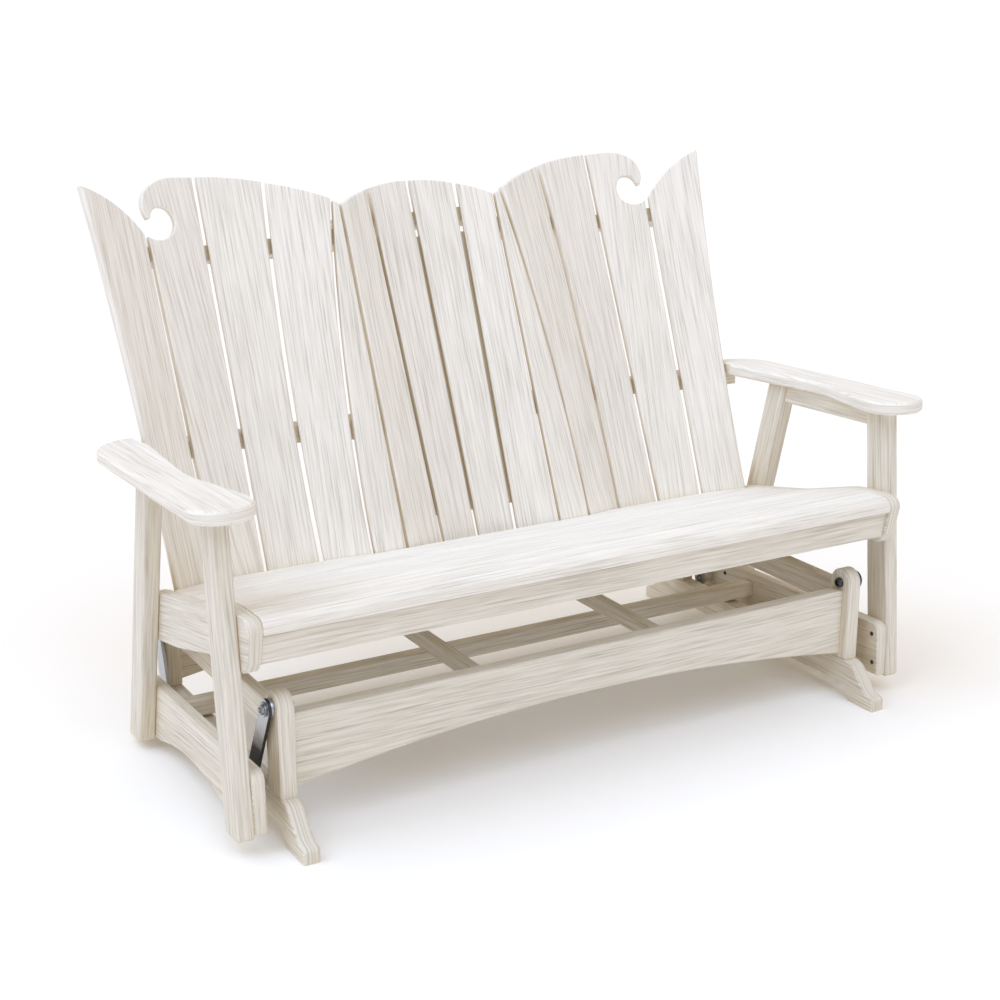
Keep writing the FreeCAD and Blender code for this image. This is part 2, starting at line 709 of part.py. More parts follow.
def back_rail(outline, w0, w1):
    """Board behind the slats: its (x, depth) outline at each height, from w0 up to w1."""
    wires = []
    for w in (w0, w1):
        corners = [back_point(x, w, d) for x, d in outline(w)]
        wires.append(Part.makePolygon(corners + corners[:1]))
    return Part.makeLoft(wires, True, True)


def both_sides(points):
    """Points from the centre outwards, continued on the mirrored side."""
    return points + [(-x, d) for x, d in reversed(points)]


def rear_corner(k, x, w):
    """Corner of slat k's rear face behind the point x of its front face."""
    slope = slat_slope(k)
    behind = x - SLAT * slope / math.sqrt(1 + slope ** 2 + SLAT_TWIST[k] ** 2)
    return (behind, slat_back(k, behind, w))


def fan_backs(w, end_x):
    """Rear faces of one outer fan at height w, from its inner edge to end_x."""
    last = len(SEAMS) - 2
    points = []
    for k in range(CENTRE_SLATS, last + 1):
        points.append(rear_corner(k, inner_edge(k, w) - SEAM_SPARE, w))
        points.append(rear_corner(k, outer_edge(k, w) + SEAM_SPARE, w))
    return points[:-1] + [(end_x, slat_back(last, end_x, w))]


def fan_rail():
    def outline(w):
        points = fan_backs(w, seam_x(len(SEAMS) - 1, FAN_RAIL_LOW) - FAN_RAIL_INSET)
        return points + [(points[-1][0], BACK_RAIL_REAR), (points[0][0], BACK_RAIL_REAR)]
    return back_rail(outline, FAN_RAIL_LOW, FAN_RAIL_LOW + HEAVY)


def centre_backs(w, end_x):
    points = [crossing(k, w, slat_back) for k in range(CENTRE_SLATS)]
    return points + [(end_x, slat_back(CENTRE_SLATS - 1, end_x, w))]


def centre_rail():
    def outline(w):
        points = centre_backs(w, outer_edge(CENTRE_SLATS - 1, CENTRE_RAIL_LOW))
        return both_sides(points + [(points[-1][0], CENTRE_RAIL_REAR)])
    return back_rail(outline, CENTRE_RAIL_LOW, CENTRE_RAIL_LOW + HEAVY)


def level_slice(solid, z0, z1):
    return solid.common(box(-LEG_OUT, LEG_OUT, 0, 2 * FOOT_LENGTH, z0, z1))


def arm_level_rail():
    """Cross rail under both armrests, scalloped to the backs of the slats."""
    middle = (ARM_UNDER - HEAVY / 2 - BACK_FOOT[1]) / BACK_COS
    fan_start = outer_edge(CENTRE_SLATS - 1, middle)
    tab = outer_edge(len(SEAMS) - 2, middle) + SLAT_GAP
    end = LEG_MID + SLAT_GAP

    def outline(w):
        points = centre_backs(w, fan_start) + fan_backs(w, tab)
        return both_sides(points + [(end, points[-1][1]), (end, BACK_RAIL_REAR)])
    solid = back_rail(outline, middle - RAIL_REACH, middle + RAIL_REACH)
    solid = level_slice(solid, ARM_UNDER - HEAVY, ARM_UNDER)
    front = box(tab, LEG_OUT, 0, ARM_TAB_FRONT, 0, ARM_TOP)
    return solid.cut([front, mirrored(front)])


def lower_rail_front():
    """Front of the lower back rail on the centre line."""
    mid = LOWER_RAIL_LOW + HEAVY / 2
    d = slat_back(CENTRE_SLATS, inner_edge(CENTRE_SLATS, 0), 0)
    w = (mid - BACK_FOOT[1] + d * BACK_SIN) / BACK_COS
    return back_point(0, w, d).y - HEAVY / 2 * BACK_SIN / BACK_COS


def lower_rail():
    """Rail between the stringers that holds the feet of the outer fans."""
    middle = (LOWER_RAIL_LOW + HEAVY / 2 - BACK_FOOT[1]) / BACK_COS

    def outline(w):
        return both_sides(fan_backs(w, SEAT_HALF) + [(SEAT_HALF, LOWER_RAIL_REAR)])
    solid = back_rail(outline, middle - RAIL_REACH, middle + RAIL_REACH)
    return level_slice(solid, LOWER_RAIL_LOW, LOWER_RAIL_LOW + HEAVY)


def batten(k):
    """Strip behind the gap between slats k - 1 and k of the centre fan."""
    def outline(w):
        seam = crossing(k, w, slat_back)
        left = seam[0] - BATTEN_HALF
        right = seam[0] + BATTEN_HALF
        near = slat_back(k - 1, left, w) if k else slat_back(0, right, w)
        front = [(left, near), seam, (right, slat_back(k, right, w))]
        return front + [(x, d + BATTEN) for x, d in reversed(front)]
    return back_rail(outline, BATTEN_LOW, BATTEN_HIGH)


def wave_notch():
    """Room in the armrest's rear corner for the outermost slat, with a gap all round."""
    last = len(SEAMS) - 2
    inner = inner_edge(last, 0)
    top = (ARM_TOP - BACK_FOOT[1]) / BACK_COS
    outer = rear_corner(last, outer_edge(last, top), top)[0] + SEAT_TO_SLAT
    depth = slat_front(last, outer, 0)
    up = (ARM_UNDER - BACK_FOOT[1] + depth * BACK_SIN) / BACK_COS
    front = back_point(outer, up, depth).y - SEAT_TO_SLAT
    return box(inner, outer, front, front + FOOT_LENGTH, ARM_UNDER, ARM_TOP)


def before_slats():
    """Space in front of the slats, less the gap left to the seat."""
    first = CENTRE_SLATS
    last = len(SEAMS) - 2

    def outline(w):
        start = (inner_edge(first, 0), slat_front(first, inner_edge(first, 0), w))
        points = [start] + [crossing(k, w, slat_front) for k in range(first + 1, last + 1)]
        points.append((SEAT_HALF, slat_front(last, SEAT_HALF, w)))
        points = [(x, d - SEAT_TO_SLAT) for x, d in points]
        return both_sides(points + [(SEAT_HALF, -FOOT_LENGTH)])
    return back_rail(outline, -FOOT_LENGTH, FOOT_LENGTH)


def back_pieces():
    names = ("centre_inner", "centre_outer", "fan_inner", "fan_second", "fan_third", "hook", "wave")
    slats = [plain_slat(k, CENTRE_FOOT, centre_top) for k in range(CENTRE_SLATS)]
    slats += [plain_slat(k, FAN_FOOT, fan_top) for k in range(CENTRE_SLATS, len(SEAMS) - 3)]
    slats += [hook_slat(len(SEAMS) - 3), wave_slat(len(SEAMS) - 2)]
    for name, slat in zip(names, slats):
        save_pair("slat_" + name, hung(slat))
    strips = [batten(0), batten(1), mirrored(batten(1))]
    save_pair("back_rail_fan", hung(fan_rail()))
    save("back_rail_centre", hung(centre_rail()))
    save("back_rail_arm_level", hung(arm_level_rail().cut(strips)))
    save("back_rail_lower", hung(lower_rail()))
    save("centre_battens", hung(Part.makeCompound(strips)))


base_pieces()
save("post_bolts", post_bolts())
link_pieces()
end_pieces()
seat_pieces()
back_pieces()
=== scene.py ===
# %% [markdown]
# # A white glider bench
# The bench swings on four steel links inside a standing base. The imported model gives
# every board its place and its shape, so this lesson only dresses it: camera, finishes,
# fasteners and light. All lengths here are in metres.

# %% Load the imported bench
import math
import bpy
import numpy as np
from mathutils import Matrix, Vector


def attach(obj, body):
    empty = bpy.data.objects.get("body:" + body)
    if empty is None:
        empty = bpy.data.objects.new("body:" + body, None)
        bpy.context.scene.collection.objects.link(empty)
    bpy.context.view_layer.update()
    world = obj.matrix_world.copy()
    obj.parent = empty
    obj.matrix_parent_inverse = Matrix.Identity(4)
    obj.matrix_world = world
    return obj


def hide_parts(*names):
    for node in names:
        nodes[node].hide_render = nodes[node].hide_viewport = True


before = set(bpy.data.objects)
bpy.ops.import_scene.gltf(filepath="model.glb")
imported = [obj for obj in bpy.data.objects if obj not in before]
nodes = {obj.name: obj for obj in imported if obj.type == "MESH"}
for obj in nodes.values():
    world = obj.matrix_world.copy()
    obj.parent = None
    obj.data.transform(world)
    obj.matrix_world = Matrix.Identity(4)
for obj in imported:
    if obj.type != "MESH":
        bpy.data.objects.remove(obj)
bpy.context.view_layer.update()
scene = bpy.context.scene

# %% [markdown]
# ## Camera
# The picture was taken from the front left, a little above the backrest, with a lens
# of moderate length. Place, turn and lens come from matching the corners of the base and
# the seat, so every other shape can be compared with the picture directly.

# %% Camera
eye = bpy.data.cameras.new("camera")
eye.sensor_width = 36.0
eye.lens = 61.22
camera = bpy.data.objects.new("camera", eye)
camera.location = (-1.6599, -2.8429, 1.4347)
camera.rotation_euler = (math.radians(73.11), 0.0, math.radians(-30.17))
scene.collection.objects.link(camera)
scene.camera = camera
print("camera at", tuple(round(c, 3) for c in camera.location))


# %% [markdown]
# ## Node sums
# Node trees are easier to read as sums. `Flow` wraps one socket: adding, subtracting and
# multiplying it makes Math nodes, and `node` makes any other kind of node. The same class
# serves the materials and, further on, the trees that make the fasteners.

# %% Node sums
class Flow:
    """One output socket of a node tree, usable in sums."""

    def __init__(self, tree, socket=None):
        self.tree = tree
        self.socket = socket

    def node(self, kind, settings, inputs, output=0):
        made = self.tree.nodes.new(kind)
        for name, value in settings.items():
            if name == "stops":
                self.set_stops(made.color_ramp.elements, value)
            else:
                setattr(made, name, value)
        for name, value in inputs.items():
            sources = value if isinstance(value, list) else [value]
            for source in sources:
                if isinstance(source, Flow):
                    self.tree.links.new(source.socket, made.inputs[name])
                else:
                    made.inputs[name].default_value = source
        return Flow(self.tree, made.outputs[output] if made.outputs else None)

    def set_stops(self, ramp, stops):
        while len(ramp) < len(stops):
            ramp.new(0.5)
        for element, (place, colour) in zip(ramp, stops):
            element.position = place
            element.color = (*colour, 1.0)

    def sum(self, operation, first, second=0.0):
        return self.node("ShaderNodeMath", {"operation": operation}, {0: first, 1: second})

    def __add__(self, other):
        return self.sum("ADD", self, other)

    def __radd__(self, other):
        return self.sum("ADD", other, self)

    def __sub__(self, other):
        return self.sum("SUBTRACT", self, other)

    def __rsub__(self, other):
        return self.sum("SUBTRACT", other, self)

    def __mul__(self, other):
        return self.sum("MULTIPLY", self, other)

    def __rmul__(self, other):
        return self.sum("MULTIPLY", other, self)

    def __gt__(self, other):
        return self.sum("GREATER_THAN", self, other)

    def __lt__(self, other):
        return self.sum("LESS_THAN", self, other)

    def __abs__(self):
        return self.sum("ABSOLUTE", self)


def new_finish(name):
    """A new material, its shader, and a Flow to build on."""
    material = bpy.data.materials.new(name)
    material.use_nodes = True
    return material, material.node_tree.nodes["Principled BSDF"], Flow(material.node_tree)


def feed(flow, shader, **inputs):
    """Link or set sockets of a shader by name, with _ for a space."""
    for name, value in inputs.items():
        socket = shader.inputs[name.replace("_", " ")]
        if isinstance(value, Flow):
            flow.tree.links.new(value.socket, socket)
        else:
            socket.default_value = value


print("node sums ready")


# %% [markdown]
# ## Which way each board runs
# A board has a length, a depth and a thickness. The spread of its points gives all three:
# the directions of greatest, middle and least spread. The grain will be laid out in these
# directions, so that it runs along every board, however the board leans.

# %% Which way each board runs
def board_axes(node):
    """Unit vectors along the length, depth and thickness of a board."""
    points = np.empty(len(node.data.vertices) * 3)
    node.data.vertices.foreach_get("co", points)
    points = points.reshape(-1, 3)
    middle = (points.min(axis=0) + points.max(axis=0)) / 2
    length, depth, thickness = np.linalg.svd(points - middle, full_matrices=False)[2]
    if np.dot(np.cross(length, depth), thickness) < 0:
        thickness = -thickness
    return Vector(length), Vector(depth), Vector(thickness)


links = [name for name in nodes if name.startswith("link_")]
bolts = [name for name in nodes if name.endswith("_bolts")]
boards = [name for name in nodes if name not in links + bolts]
print("boards:", len(boards), "links:", len(links), "sets of bolts:", len(bolts))


# %% [markdown]
# ## Poly lumber
# The boards are extruded plastic, rolled while warm so that the skin carries a wood
# grain: fine streaks along each board, a little darker and warmer in the grooves, with a
# low gloss. The skin wraps round the edges, so an end shows streaks too, not end grain. A
# solid noise would show blotches there. So each face gets flat coordinates: on the broad
# faces the streaks vary across the depth, and on the edges across the thickness. Three
# layers of stretched noise make slow bands, grooves and short fibres. The heavy boards of
# the frame are rolled deeper, and their tone is darker and warmer than the slats, seat and
# armrests: partly painted shade, as the frame stands mostly in shade.
# In narrow joints and on sheltered faces the real bench looks warmer than these lights make
# it. So a short and a longer look round for near boards paint shade on the skin there: the
# joints get a darker, warmer painted shade, the sheltered faces a warmer one.

# %% Poly lumber
FINE = {"pitch": 0.0031, "sway": 0.007, "bands": 0.05, "range": (0.34, 0.78), "stops": [
    (0.0, (0.640, 0.620, 0.585)), (0.35, (0.800, 0.785, 0.760)),
    (0.62, (0.880, 0.870, 0.850)), (1.0, (0.950, 0.945, 0.930))]}
# Heavy frame boards: deeper grain, and a darker, warmer tone that is partly painted shade.
HEAVY_SHADED = {"pitch": 0.0039, "sway": 0.016, "bands": 0.14, "range": (0.34, 0.91), "stops": [
    (0.0, (0.510, 0.480, 0.425)), (0.35, (0.700, 0.675, 0.620)),
    (0.62, (0.795, 0.775, 0.725)), (1.0, (0.880, 0.865, 0.825))]}
FINE_BOARDS = ("slat_", "seat_board", "armrest")
BROAD = 0.7
EDGE_SHIFT = 7.3
SWEEP = (0.42, 0.12)
WAVE = (0.075, 0.03)
BAND = (0.7, 0.034)
GROOVE_RUN = 0.16
FIBRE_RUN = 0.05
# Painted shade: how far to look for near boards, and the darker, warmer tints for the joints and
# the sheltered faces.
JOINT_SHADE_REACH = 0.022
PAINTED_JOINT_SHADE = (0.74, 0.69, 0.60, 1.0)
SHELTER_SHADE_REACH = 0.35
PAINTED_SHELTER_SHADE = (1.0, 0.93, 0.80, 1.0)


def lumber(name, figure, axes, shift):
    material, shader, flow = new_finish(name)
    turn = Matrix(axes).to_euler()
    place = flow.node("ShaderNodeTexCoord", {}, {}, "Object")
    board = flow.node("ShaderNodeMapping", {}, {
        "Vector": place, "Rotation": turn, "Location": shift})
    facing = flow.node("ShaderNodeTexCoord", {}, {}, "Normal")
    lean = flow.node("ShaderNodeVectorMath", {"operation": "DOT_PRODUCT"}, {
        0: facing, 1: axes[2]}, "Value")
    broad = abs(lean) > BROAD
    length, depth, thickness = (
        flow.node("ShaderNodeSeparateXYZ", {}, {0: board}, k) for k in range(3))
    along = length + depth - broad * depth
    across = thickness + broad * (depth - thickness)

    def noise(run, pitch, where):
        flat = flow.node("ShaderNodeCombineXYZ", {}, {
            0: along * (1 / run), 1: where * (1 / pitch), 2: broad * EDGE_SHIFT})
        return flow.node("ShaderNodeTexNoise", {}, {
            "Vector": flat, "Scale": 1.0, "Detail": 1.0, "Roughness": 0.5})

    swept = across + (noise(*SWEEP, across) - 0.5) * figure["sway"]
    waved = swept + (noise(*WAVE, across) - 0.5) * (0.12 * figure["sway"])
    bands = noise(*BAND, swept)
    grooves = noise(GROOVE_RUN, figure["pitch"], waved)
    fibres = noise(FIBRE_RUN, 0.62 * figure["pitch"], waved)
    relief = bands * figure["bands"] + grooves * 0.75 + fibres * 0.32
    tone = flow.node("ShaderNodeMapRange", {}, {
        "Value": relief, "From Min": figure["range"][0], "From Max": figure["range"][1]})
    skin = flow.node("ShaderNodeValToRGB", {"stops": figure["stops"]}, {"Fac": tone})
    # Painted shade in narrow joints: near boards within a short reach darken and warm the skin.
    near = flow.node("ShaderNodeAmbientOcclusion", {"samples": 6}, {"Distance": JOINT_SHADE_REACH}, "AO")
    joint_shade = flow.node("ShaderNodeMapRange", {}, {"Value": near, "From Min": 0.55, "From Max": 0.15})
    joint_shaded = flow.node("ShaderNodeMix", {"data_type": "RGBA"}, {
        "Factor": joint_shade, 6: skin, 7: PAINTED_JOINT_SHADE}, 2)
    # Painted shade on sheltered faces: boards within a longer reach warm and darken the skin.
    shelter_occlusion = flow.node("ShaderNodeAmbientOcclusion", {"samples": 4}, {
        "Distance": SHELTER_SHADE_REACH}, "AO")
    sheltered = flow.node("ShaderNodeMapRange", {}, {
        "Value": shelter_occlusion, "From Min": 0.62, "From Max": 0.20})
    colour = flow.node("ShaderNodeMix", {"data_type": "RGBA", "blend_type": "MULTIPLY"}, {
        "Factor": sheltered, 6: joint_shaded, 7: PAINTED_SHELTER_SHADE}, 2)
    bump = flow.node("ShaderNodeBump", {}, {"Height": tone, "Strength": 0.30, "Distance": 0.0006})
    feed(flow, shader, Base_Color=colour, Roughness=0.68 - tone * 0.14, Normal=bump, IOR=1.49,
         Specular_IOR_Level=0.25)
    return material


def dress(node, material):
    node.data.materials.clear()
    node.data.materials.append(material)


# %% [markdown]
# ## Dressing the boards
# Boards that run the same way share one finish, shifted so that no two directions repeat
# each other's grain. A small live bevel rounds the corners that the solid model leaves
# sharp. The points are welded first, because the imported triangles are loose. On drilled
# boards the flat faces are made whole, because a bevel folds thin triangles beside a hole.

# %% Dressing the boards
WELD_GAP = 0.00002
EDGE_ROUND = 0.0012
SHARP = math.radians(25)
FLAT = math.radians(0.4)
DRILLED = ("post_", "glide_board")
GRAIN_STEP = (0.37, 0.13, 0.29)
lumber_by_axes = {}
for name in boards:
    axes = board_axes(nodes[name])
    fine = name.startswith(FINE_BOARDS)
    key = (fine, *(round(c, 2) for axis in axes for c in axis))
    if key not in lumber_by_axes:
        count = len(lumber_by_axes)
        shift = tuple(step * count for step in GRAIN_STEP)
        figure = FINE if fine else HEAVY_SHADED
        lumber_by_axes[key] = lumber("poly_lumber_%02d" % count, figure, axes, shift)
    dress(nodes[name], lumber_by_axes[key])
    weld = nodes[name].modifiers.new("weld", "WELD")
    weld.merge_threshold = WELD_GAP
    if name.startswith(DRILLED):
        flat = nodes[name].modifiers.new("flat_faces", "DECIMATE")
        flat.decimate_type = "DISSOLVE"
        flat.angle_limit = FLAT
    bevel = nodes[name].modifiers.new("soft_edges", "BEVEL")
    bevel.width = EDGE_ROUND
    bevel.segments = 2
    bevel.limit_method = "ANGLE"
    bevel.angle_limit = SHARP
print("grain directions:", len(lumber_by_axes))


# %% [markdown]
# ## Steel and black coating
# Each link is a bright steel strap. On the front straps the edges and the lower ends get a
# painted dark reflection: they are coloured black and not metallic. A pale nylon bushing
# carries the glide board. All are in one piece of the model, so one finish tells them apart by
# place: edges by their facing, the bushing by its distance from the middle, the dark lower end
# by height. The bolts have a dark coating, the nuts zinc.

# %% Steel and black coating
STRAP_FACES = (0.6557, 0.6623)
# Height and fade of the painted dark reflection on the lower ends, the facing of the edges that get
# it, and its black.
DARK_REFLECTION_HEIGHT = 0.164
DARK_REFLECTION_FADE = 0.010
EDGE_FACING = 0.6
PAINTED_DARK_REFLECTION = (0.022, 0.023, 0.026, 1.0)
NYLON = (0.62, 0.58, 0.50, 1.0)


def strap_finish():
    material, shader, flow = new_finish("link_steel")
    place = flow.node("ShaderNodeTexCoord", {}, {}, "Object")
    drawn = flow.node("ShaderNodeMapping", {}, {"Vector": place, "Scale": (1400.0, 1400.0, 30.0)})
    scratch = flow.node("ShaderNodeTexNoise", {}, {"Vector": drawn, "Scale": 1.0, "Detail": 2.0})
    outward, rearward, height = (
        flow.node("ShaderNodeSeparateXYZ", {}, {0: place}, k) for k in range(3))
    # Painted dark reflection on the lower end, fading in over a short height.
    dark_lower_end = flow.node("ShaderNodeMapRange", {"interpolation_type": "SMOOTHSTEP"}, {
        "Value": height, "From Min": DARK_REFLECTION_HEIGHT + DARK_REFLECTION_FADE, "From Max": DARK_REFLECTION_HEIGHT - DARK_REFLECTION_FADE})
    facing = flow.node("ShaderNodeTexCoord", {}, {}, "Normal")
    sideways = abs(flow.node("ShaderNodeSeparateXYZ", {}, {0: facing}, 0))
    # Painted dark reflection on the edges that face sideways.
    edge = (sideways < EDGE_FACING) * (abs(outward) > STRAP_FACES[0])
    bushing = abs(outward) > STRAP_FACES[1]
    # Only the front straps get the painted dark reflection.
    black = flow.sum("MAXIMUM", edge, dark_lower_end) * (rearward < 0.0)
    bare = (1.0 - black) * (1.0 - bushing)
    steel = flow.node("ShaderNodeValToRGB", {"stops": [
        (0.3, (0.36, 0.37, 0.39)), (0.7, (0.58, 0.59, 0.61))]}, {"Fac": scratch})
    with_dark_reflection = flow.node("ShaderNodeMix", {"data_type": "RGBA"}, {
        "Factor": black, 6: steel, 7: PAINTED_DARK_REFLECTION}, 2)
    colour = flow.node("ShaderNodeMix", {"data_type": "RGBA"}, {
        "Factor": bushing, 6: with_dark_reflection, 7: NYLON}, 2)
    feed(flow, shader, Base_Color=colour, Metallic=bare,
         Roughness=0.36 + scratch * 0.14 - bare * 0.14)
    return material


def metal_finish(name, dark, light, metallic, rough):
    material, shader, flow = new_finish(name)
    place = flow.node("ShaderNodeTexCoord", {}, {}, "Object")
    speck = flow.node("ShaderNodeTexNoise", {}, {"Vector": place, "Scale": 900.0, "Detail": 2.0})
    colour = flow.node("ShaderNodeValToRGB", {"stops": [(0.3, dark), (0.75, light)]}, {
        "Fac": speck})
    feed(flow, shader, Base_Color=colour, Roughness=rough + speck * 0.16, Metallic=metallic)
    return material


strap = strap_finish()
black_coat = metal_finish("black_coat", (0.035, 0.038, 0.042), (0.13, 0.135, 0.145), 0.9, 0.16)
zinc = metal_finish("zinc_plate", (0.22, 0.23, 0.25), (0.46, 0.47, 0.50), 1.0, 0.14)
for name in links:
    dress(nodes[name], strap)
for name in bolts:
    dress(nodes[name], black_coat)
print("links dressed:", len(links))


# %% [markdown]
# ## Where the fasteners sit
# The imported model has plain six-sided stand-ins for the bolts and screws. Their points fall
# into one cluster per fastener. A cluster's levels along X are its head, its seats and its
# nut, so the finished fasteners can be set on exactly the same faces.

# %% Where the fasteners sit
CLUSTER = 0.03


def fastener_places(name):
    """For each plain fastener: its side of the bench, its centre and its levels outward."""
    clusters = []
    for vertex in nodes[name].data.vertices:
        point = vertex.co
        side = 1 if point.x > 0 else -1
        near = [c for c in clusters if c[0] == side and (c[1][0].yz - point.yz).length < CLUSTER]
        if near:
            near[0][1].append(point)
        else:
            clusters.append((side, [point]))
    places = []
    for side, points in clusters:
        middle = [(min(p[k] for p in points) + max(p[k] for p in points)) / 2 for k in (1, 2)]
        levels = sorted({round(abs(p.x), 4) for p in points})
        places.append((side, middle, levels))
    return places


post_bolts = fastener_places("post_bolts")
glide_fasteners = fastener_places("glide_bolts")
glide_bolts = [place for place in glide_fasteners if len(place[2]) > 2]
glide_screws = [place for place in glide_fasteners if len(place[2]) == 2]
print("post bolts:", len(post_bolts), "glide bolts:", len(glide_bolts))
print("glide screws:", len(glide_screws))


# %% [markdown]
# ## Trees for turned and six-sided fasteners
# A bolt head is a turned shape: a profile of radius and height, spun about an axis. Geometry
# Nodes have no lathe, but each step of a profile is a cone without caps, so a row of cones,
# joined and merged, makes the closed shape. Steps that go down, into a socket, are turned
# inside out so that their faces point outwards. With six sides the same row makes a nut.

# %% Trees for turned and six-sided fasteners
MERGE = 0.000005
SPIN_SEED = 7
SOFT_ANGLE = math.radians(32)


def turned(flow, sides, profile):
    """Closed shape through (radius, height) steps, from the axis back to the axis."""
    steps = []
    for (r0, h0, rising), (r1, h1, _) in zip(profile, profile[1:]):
        base, top, low, high = (r0, r1, h0, h1) if rising else (r1, r0, h1, h0)
        cone = flow.node("GeometryNodeMeshCone", {"fill_type": "NONE"}, {
            "Vertices": sides, "Radius Bottom": base, "Radius Top": top, "Depth": high - low})
        lift = flow.node("ShaderNodeCombineXYZ", {}, {2: low})
        step = flow.node("GeometryNodeTransform", {}, {"Geometry": cone, "Translation": lift})
        steps.append(step if rising else flow.node("GeometryNodeFlipFaces", {}, {"Mesh": step}))
    joined = flow.node("GeometryNodeJoinGeometry", {}, {"Geometry": steps})
    return flow.node("GeometryNodeMergeByDistance", {}, {"Geometry": joined, "Distance": MERGE})


def fastener_tree(name, sizes, shapes):
    """Tree that sets a fastener on every point, turned to the point's facing."""
    tree = bpy.data.node_groups.new(name, "GeometryNodeTree")
    tree.interface.new_socket("Places", in_out="INPUT", socket_type="NodeSocketGeometry")
    for size in sizes:
        tree.interface.new_socket(size, in_out="INPUT", socket_type="NodeSocketFloat")
    tree.interface.new_socket("Finish", in_out="INPUT", socket_type="NodeSocketMaterial")
    tree.interface.new_socket("Fasteners", in_out="OUTPUT", socket_type="NodeSocketGeometry")
    flow = Flow(tree)
    given = tree.nodes.new("NodeGroupInput")
    inputs = {socket.name: Flow(tree, socket) for socket in given.outputs if socket.name}
    joined = flow.node("GeometryNodeJoinGeometry", {}, {"Geometry": shapes(flow, inputs)})
    facing = flow.node("GeometryNodeInputNamedAttribute", {"data_type": "FLOAT_VECTOR"}, {
        "Name": "facing"})
    aimed = flow.node("FunctionNodeAlignRotationToVector", {"axis": "Z"}, {"Vector": facing})
    spin = flow.node("FunctionNodeRandomValue", {"data_type": "FLOAT_VECTOR"}, {
        0: (0.0, 0.0, 0.0), 1: (0.0, 0.0, math.tau), "Seed": SPIN_SEED})
    tightened = flow.node("FunctionNodeEulerToRotation", {}, {0: spin})
    turn = flow.node("FunctionNodeRotateRotation", {"rotation_space": "LOCAL"}, {
        0: aimed, 1: tightened})
    placed = flow.node("GeometryNodeInstanceOnPoints", {}, {
        "Points": inputs["Places"], "Instance": joined, "Rotation": turn})
    whole = flow.node("GeometryNodeRealizeInstances", {}, {0: placed})
    angle = flow.node("GeometryNodeInputMeshEdgeAngle", {}, {})
    gentle = flow.node("FunctionNodeCompare", {"data_type": "FLOAT", "operation": "LESS_THAN"}, {
        0: angle, 1: SOFT_ANGLE})
    smooth = flow.node("GeometryNodeSetShadeSmooth", {"domain": "EDGE"}, {
        0: whole, "Shade Smooth": gentle})
    finished = flow.node("GeometryNodeSetMaterial", {}, {
        "Geometry": smooth, "Material": inputs["Finish"]})
    flow.node("NodeGroupOutput", {}, {"Fasteners": finished})
    return tree


# %% [markdown]
# ## Bolt heads, screws and nuts
# The picture shows low black button heads with a round-cornered socket inside the posts,
# small black screws of the same form on the glide boards, and a zinc nut on stepped washers
# outside each strap. Each form is one tree; its sizes are the tree's inputs.

# %% Bolt heads, screws and nuts
def button_head(flow, size):
    radius, height = size["Radius"], size["Height"]
    head = turned(flow, 32, [
        (0.0, 0.0, True), (radius, 0.0, True), (radius, height * 0.30, True),
        (radius * 0.95, height * 0.62, True), (radius * 0.82, height * 0.84, True),
        (radius * 0.60, height, False), (radius * 0.52, height * 0.95, False),
        (radius * 0.47, height * 0.55, False), (0.0, height * 0.48, True)])
    shank = turned(flow, 24, [
        (0.0, 0.0 - size["Shank"], True), (size["Shank Radius"], 0.0 - size["Shank"], True),
        (size["Shank Radius"], 0.0, True), (0.0, 0.0, True)])
    return [head, shank]


def washer_nut(flow, size):
    rim, plate, nut, height, bolt = (size[k] for k in ("Rim", "Plate", "Nut", "Height", "Bolt"))
    top = plate + height
    washer = turned(flow, 36, [
        (0.0, 0.0, True), (rim, 0.0, True), (rim, plate * 0.45, True),
        (rim * 0.95, plate * 0.6, False), (rim * 0.90, plate * 0.2, True),
        (rim * 0.85, plate * 0.2, True), (rim * 0.82, plate, True), (0.0, plate, True)])
    hexagon = turned(flow, 6, [
        (0.0, plate, True), (nut, plate, True), (nut, plate + height * 0.78, True),
        (nut * 0.86, top, True), (0.0, top, True)])
    end = turned(flow, 24, [
        (0.0, top, True), (bolt, top, True), (bolt, top + bolt * 0.35, True),
        (bolt * 0.8, top + bolt * 0.55, True), (0.0, top + bolt * 0.55, True)])
    return [washer, hexagon, end]


head_tree = fastener_tree("button_head", ("Radius", "Height", "Shank", "Shank Radius"), button_head)
nut_tree = fastener_tree("washer_nut", ("Rim", "Plate", "Nut", "Height", "Bolt"), washer_nut)
print("trees:", head_tree.name, len(head_tree.nodes), nut_tree.name, len(nut_tree.nodes))


# %% [markdown]
# ## Fitting the fasteners
# Each set starts as bare points, one for each fastener, that know which way they face. The
# tree turns them into solid fasteners, and the result is kept as a plain mesh that rides on
# the body it is screwed to. The lower pivot bolts also show their ends, flush with the
# outside of the glide boards. The plain stand-ins are then hidden.

# %% Fitting the fasteners
def fitted(name, tree, spots, finish, body, sizes):
    """Plain mesh with a fastener at every (place, facing), riding on a body."""
    mesh = bpy.data.meshes.new(name)
    mesh.from_pydata([place for place, facing in spots], [], [])
    facing = mesh.attributes.new("facing", "FLOAT_VECTOR", "POINT")
    facing.data.foreach_set("vector", [c for place, axis in spots for c in axis])
    piece = bpy.data.objects.new(name, mesh)
    scene.collection.objects.link(piece)
    modifier = piece.modifiers.new("fasteners", "NODES")
    modifier.node_group = tree
    sockets = {item.name: item.identifier for item in tree.interface.items_tree}
    for label, value in {**sizes, "Finish": finish}.items():
        modifier[sockets[label]] = value
    graph = bpy.context.evaluated_depsgraph_get()
    solid = bpy.data.meshes.new_from_object(piece.evaluated_get(graph))
    piece.modifiers.clear()
    piece.data = solid
    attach(piece, body)
    print(name, "faces:", len(solid.polygons))
    return piece


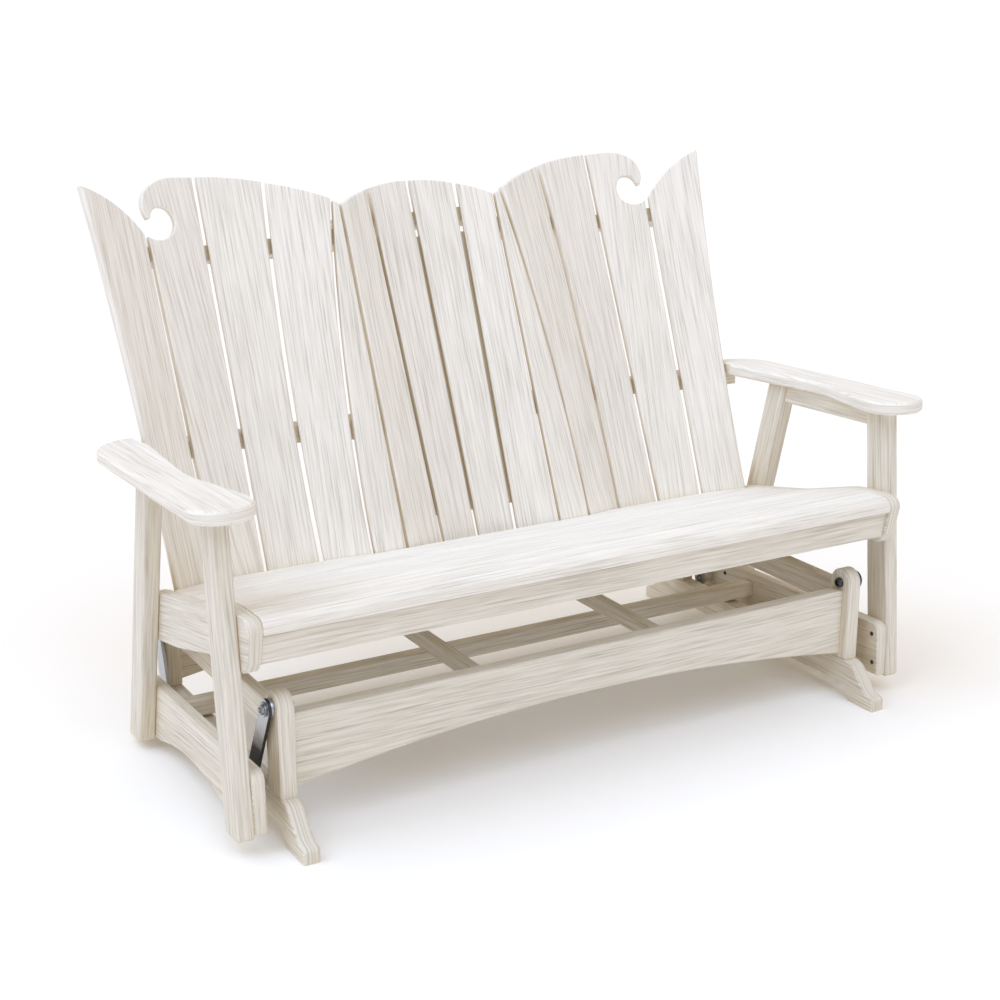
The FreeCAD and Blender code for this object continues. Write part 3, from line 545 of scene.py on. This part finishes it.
def spots(places, level, inward):
    """Points on one level of the fasteners, facing the middle of the bench or away from it."""
    return [((side * levels[level], *middle), (-side if inward else side, 0.0, 0.0))
            for side, middle, levels in places]


def grip(place):
    """Length of a bolt between its head or end and its nut."""
    levels = place[2]
    return levels[2] - levels[1]


heads = fitted("post_bolt_heads", head_tree, spots(post_bolts, 1, True), black_coat,
               "base", {
                   "Radius": 0.0108, "Height": 0.0082,
                   "Shank": grip(post_bolts[0]), "Shank Radius": 0.0049})
fitted("post_bolt_nuts", nut_tree, spots(post_bolts, 2, False), zinc, "base", {
    "Rim": 0.0135, "Plate": 0.0024, "Nut": 0.0092, "Height": 0.0062, "Bolt": 0.0049})
fitted("glide_bolt_nuts", nut_tree, spots(glide_bolts, 1, True), zinc, "seat", {
    "Rim": 0.0082, "Plate": 0.0010, "Nut": 0.0076, "Height": 0.0030, "Bolt": 0.0010})
fitted("glide_bolt_ends", head_tree, spots(glide_bolts, 2, False), black_coat,
       "seat", {
           "Radius": 0.0049, "Height": 0.0004,
           "Shank": grip(glide_bolts[0]), "Shank Radius": 0.0048})
screws = fitted("glide_screws", head_tree, spots(glide_screws, 1, True), black_coat,
                "seat", {
                    "Radius": 0.0046, "Height": 0.0020, "Shank": 0.020, "Shank Radius": 0.0022})
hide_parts("post_bolts")
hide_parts("glide_bolts")


# %% [markdown]
# ## Floor and light
# A studio with a white floor and large soft lights. Cool light comes from the front, the
# left and the back, all from above. Warm light from all round fills the shade, so that the
# gaps and the inner faces of the boards look beige and not grey. Only matt surfaces get it:
# the steel mirrors a plain pale room.

# %% Floor and light
def floor_finish():
    material, shader, flow = new_finish("pale_floor")
    place = flow.node("ShaderNodeTexCoord", {}, {}, "Object")
    cloud = flow.node("ShaderNodeTexNoise", {}, {"Vector": place, "Scale": 1.5, "Detail": 2.0})
    colour = flow.node("ShaderNodeValToRGB", {"stops": [
        (0.0, (0.905, 0.912, 0.930)), (1.0, (0.920, 0.927, 0.945))]}, {"Fac": cloud})
    feed(flow, shader, Base_Color=colour, Roughness=0.9, Emission_Color=(1.0, 1.0, 1.0, 1.0),
         Emission_Strength=0.09)
    return material


def flat_sheet(name, size):
    half = size / 2
    mesh = bpy.data.meshes.new(name)
    corners = [(-half, -half, 0), (half, -half, 0), (half, half, 0), (-half, half, 0)]
    mesh.from_pydata(corners, [], [(0, 1, 2, 3)])
    mesh.materials.append(floor_finish())
    sheet = bpy.data.objects.new(name, mesh)
    scene.collection.objects.link(sheet)
    return sheet


def sun(name, source, softness, strength, colour):
    """A wide even light from a direction, soft like a large cloth screen."""
    lamp = bpy.data.lights.new(name, "SUN")
    lamp.angle = math.radians(softness)
    lamp.energy = strength
    lamp.color = colour
    screen = bpy.data.objects.new(name, lamp)
    screen.rotation_euler = Vector(source).to_track_quat("Z", "Y").to_euler()
    scene.collection.objects.link(screen)


ROOM = (0.80, 0.80, 0.80, 1.0)
WARM_FILL = (0.42, 0.26, 0.06, 1.0)
flat_sheet("floor", 800.0)
sun("front", (0.0, -0.6, 0.8), 50.0, 1.41, (0.61, 0.77, 1.0))
sun("left", (-0.62, 0.08, 0.78), 50.0, 1.72, (0.64, 0.785, 1.0))
sun("back", (0.2, 0.35, 0.9), 70.0, 0.60, (0.78, 0.88, 1.0))
world = bpy.data.worlds.new("studio")
world.use_nodes = True
fill = Flow(world.node_tree)
shade = fill.node("ShaderNodeLightPath", {}, {}, "Is Diffuse Ray")
tint = fill.node("ShaderNodeMix", {"data_type": "RGBA"}, {
    "Factor": shade, 6: ROOM, 7: WARM_FILL}, 2)
feed(fill, world.node_tree.nodes["Background"], Color=tint, Strength=1.0)
scene.world = world
scene.view_settings.view_transform = "Standard"
